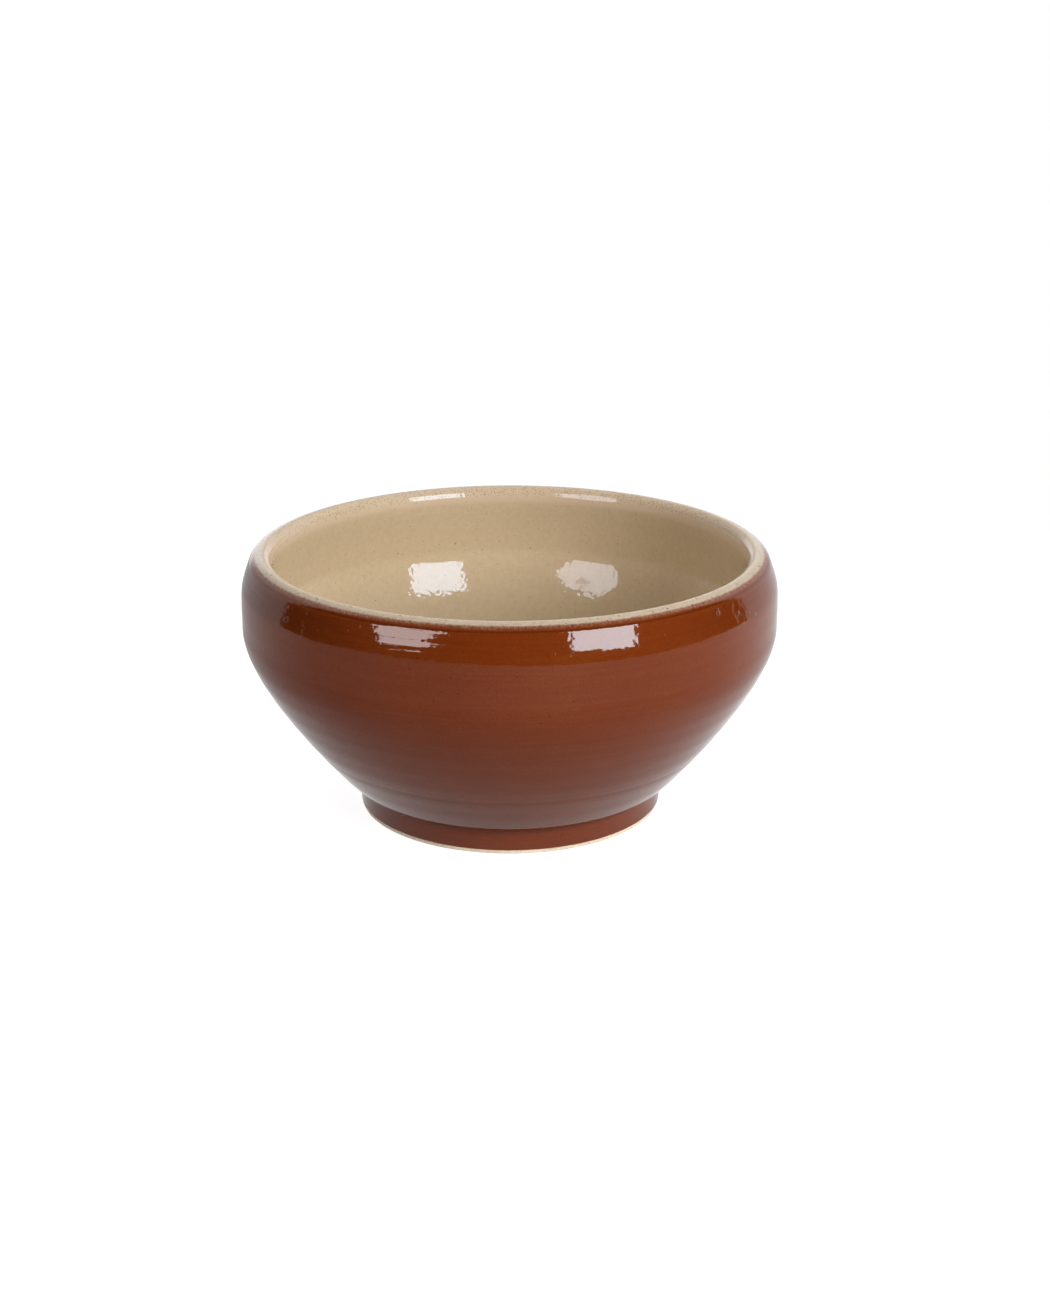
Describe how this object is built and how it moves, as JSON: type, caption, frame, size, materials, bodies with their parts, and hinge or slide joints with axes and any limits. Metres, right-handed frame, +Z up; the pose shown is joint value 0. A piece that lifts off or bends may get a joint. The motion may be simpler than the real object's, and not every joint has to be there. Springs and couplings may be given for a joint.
{
  "type": "serving bowl",
  "caption": "Round stoneware serving bowl with a rounded shoulder, in-leaning lip and low foot ring, glossy brown glaze outside and buff glaze inside.",
  "frame": {"origin": "centre of the foot ring, on the table", "axes": "+Z up along the bowl's axis of turning; X and Y lie in the table and are alike"},
  "size_m": [0.22, 0.22, 0.1095],
  "materials": {
    "bare_clay": "matt fired clay",
    "brown_glaze": "glossy",
    "cream_glaze": "glossy"
  },
  "bodies": {
    "root": {"stoneware_body": "bare_clay", "outside_glaze": "brown_glaze", "inside_glaze": "cream_glaze"}
  },
  "joints": []
}
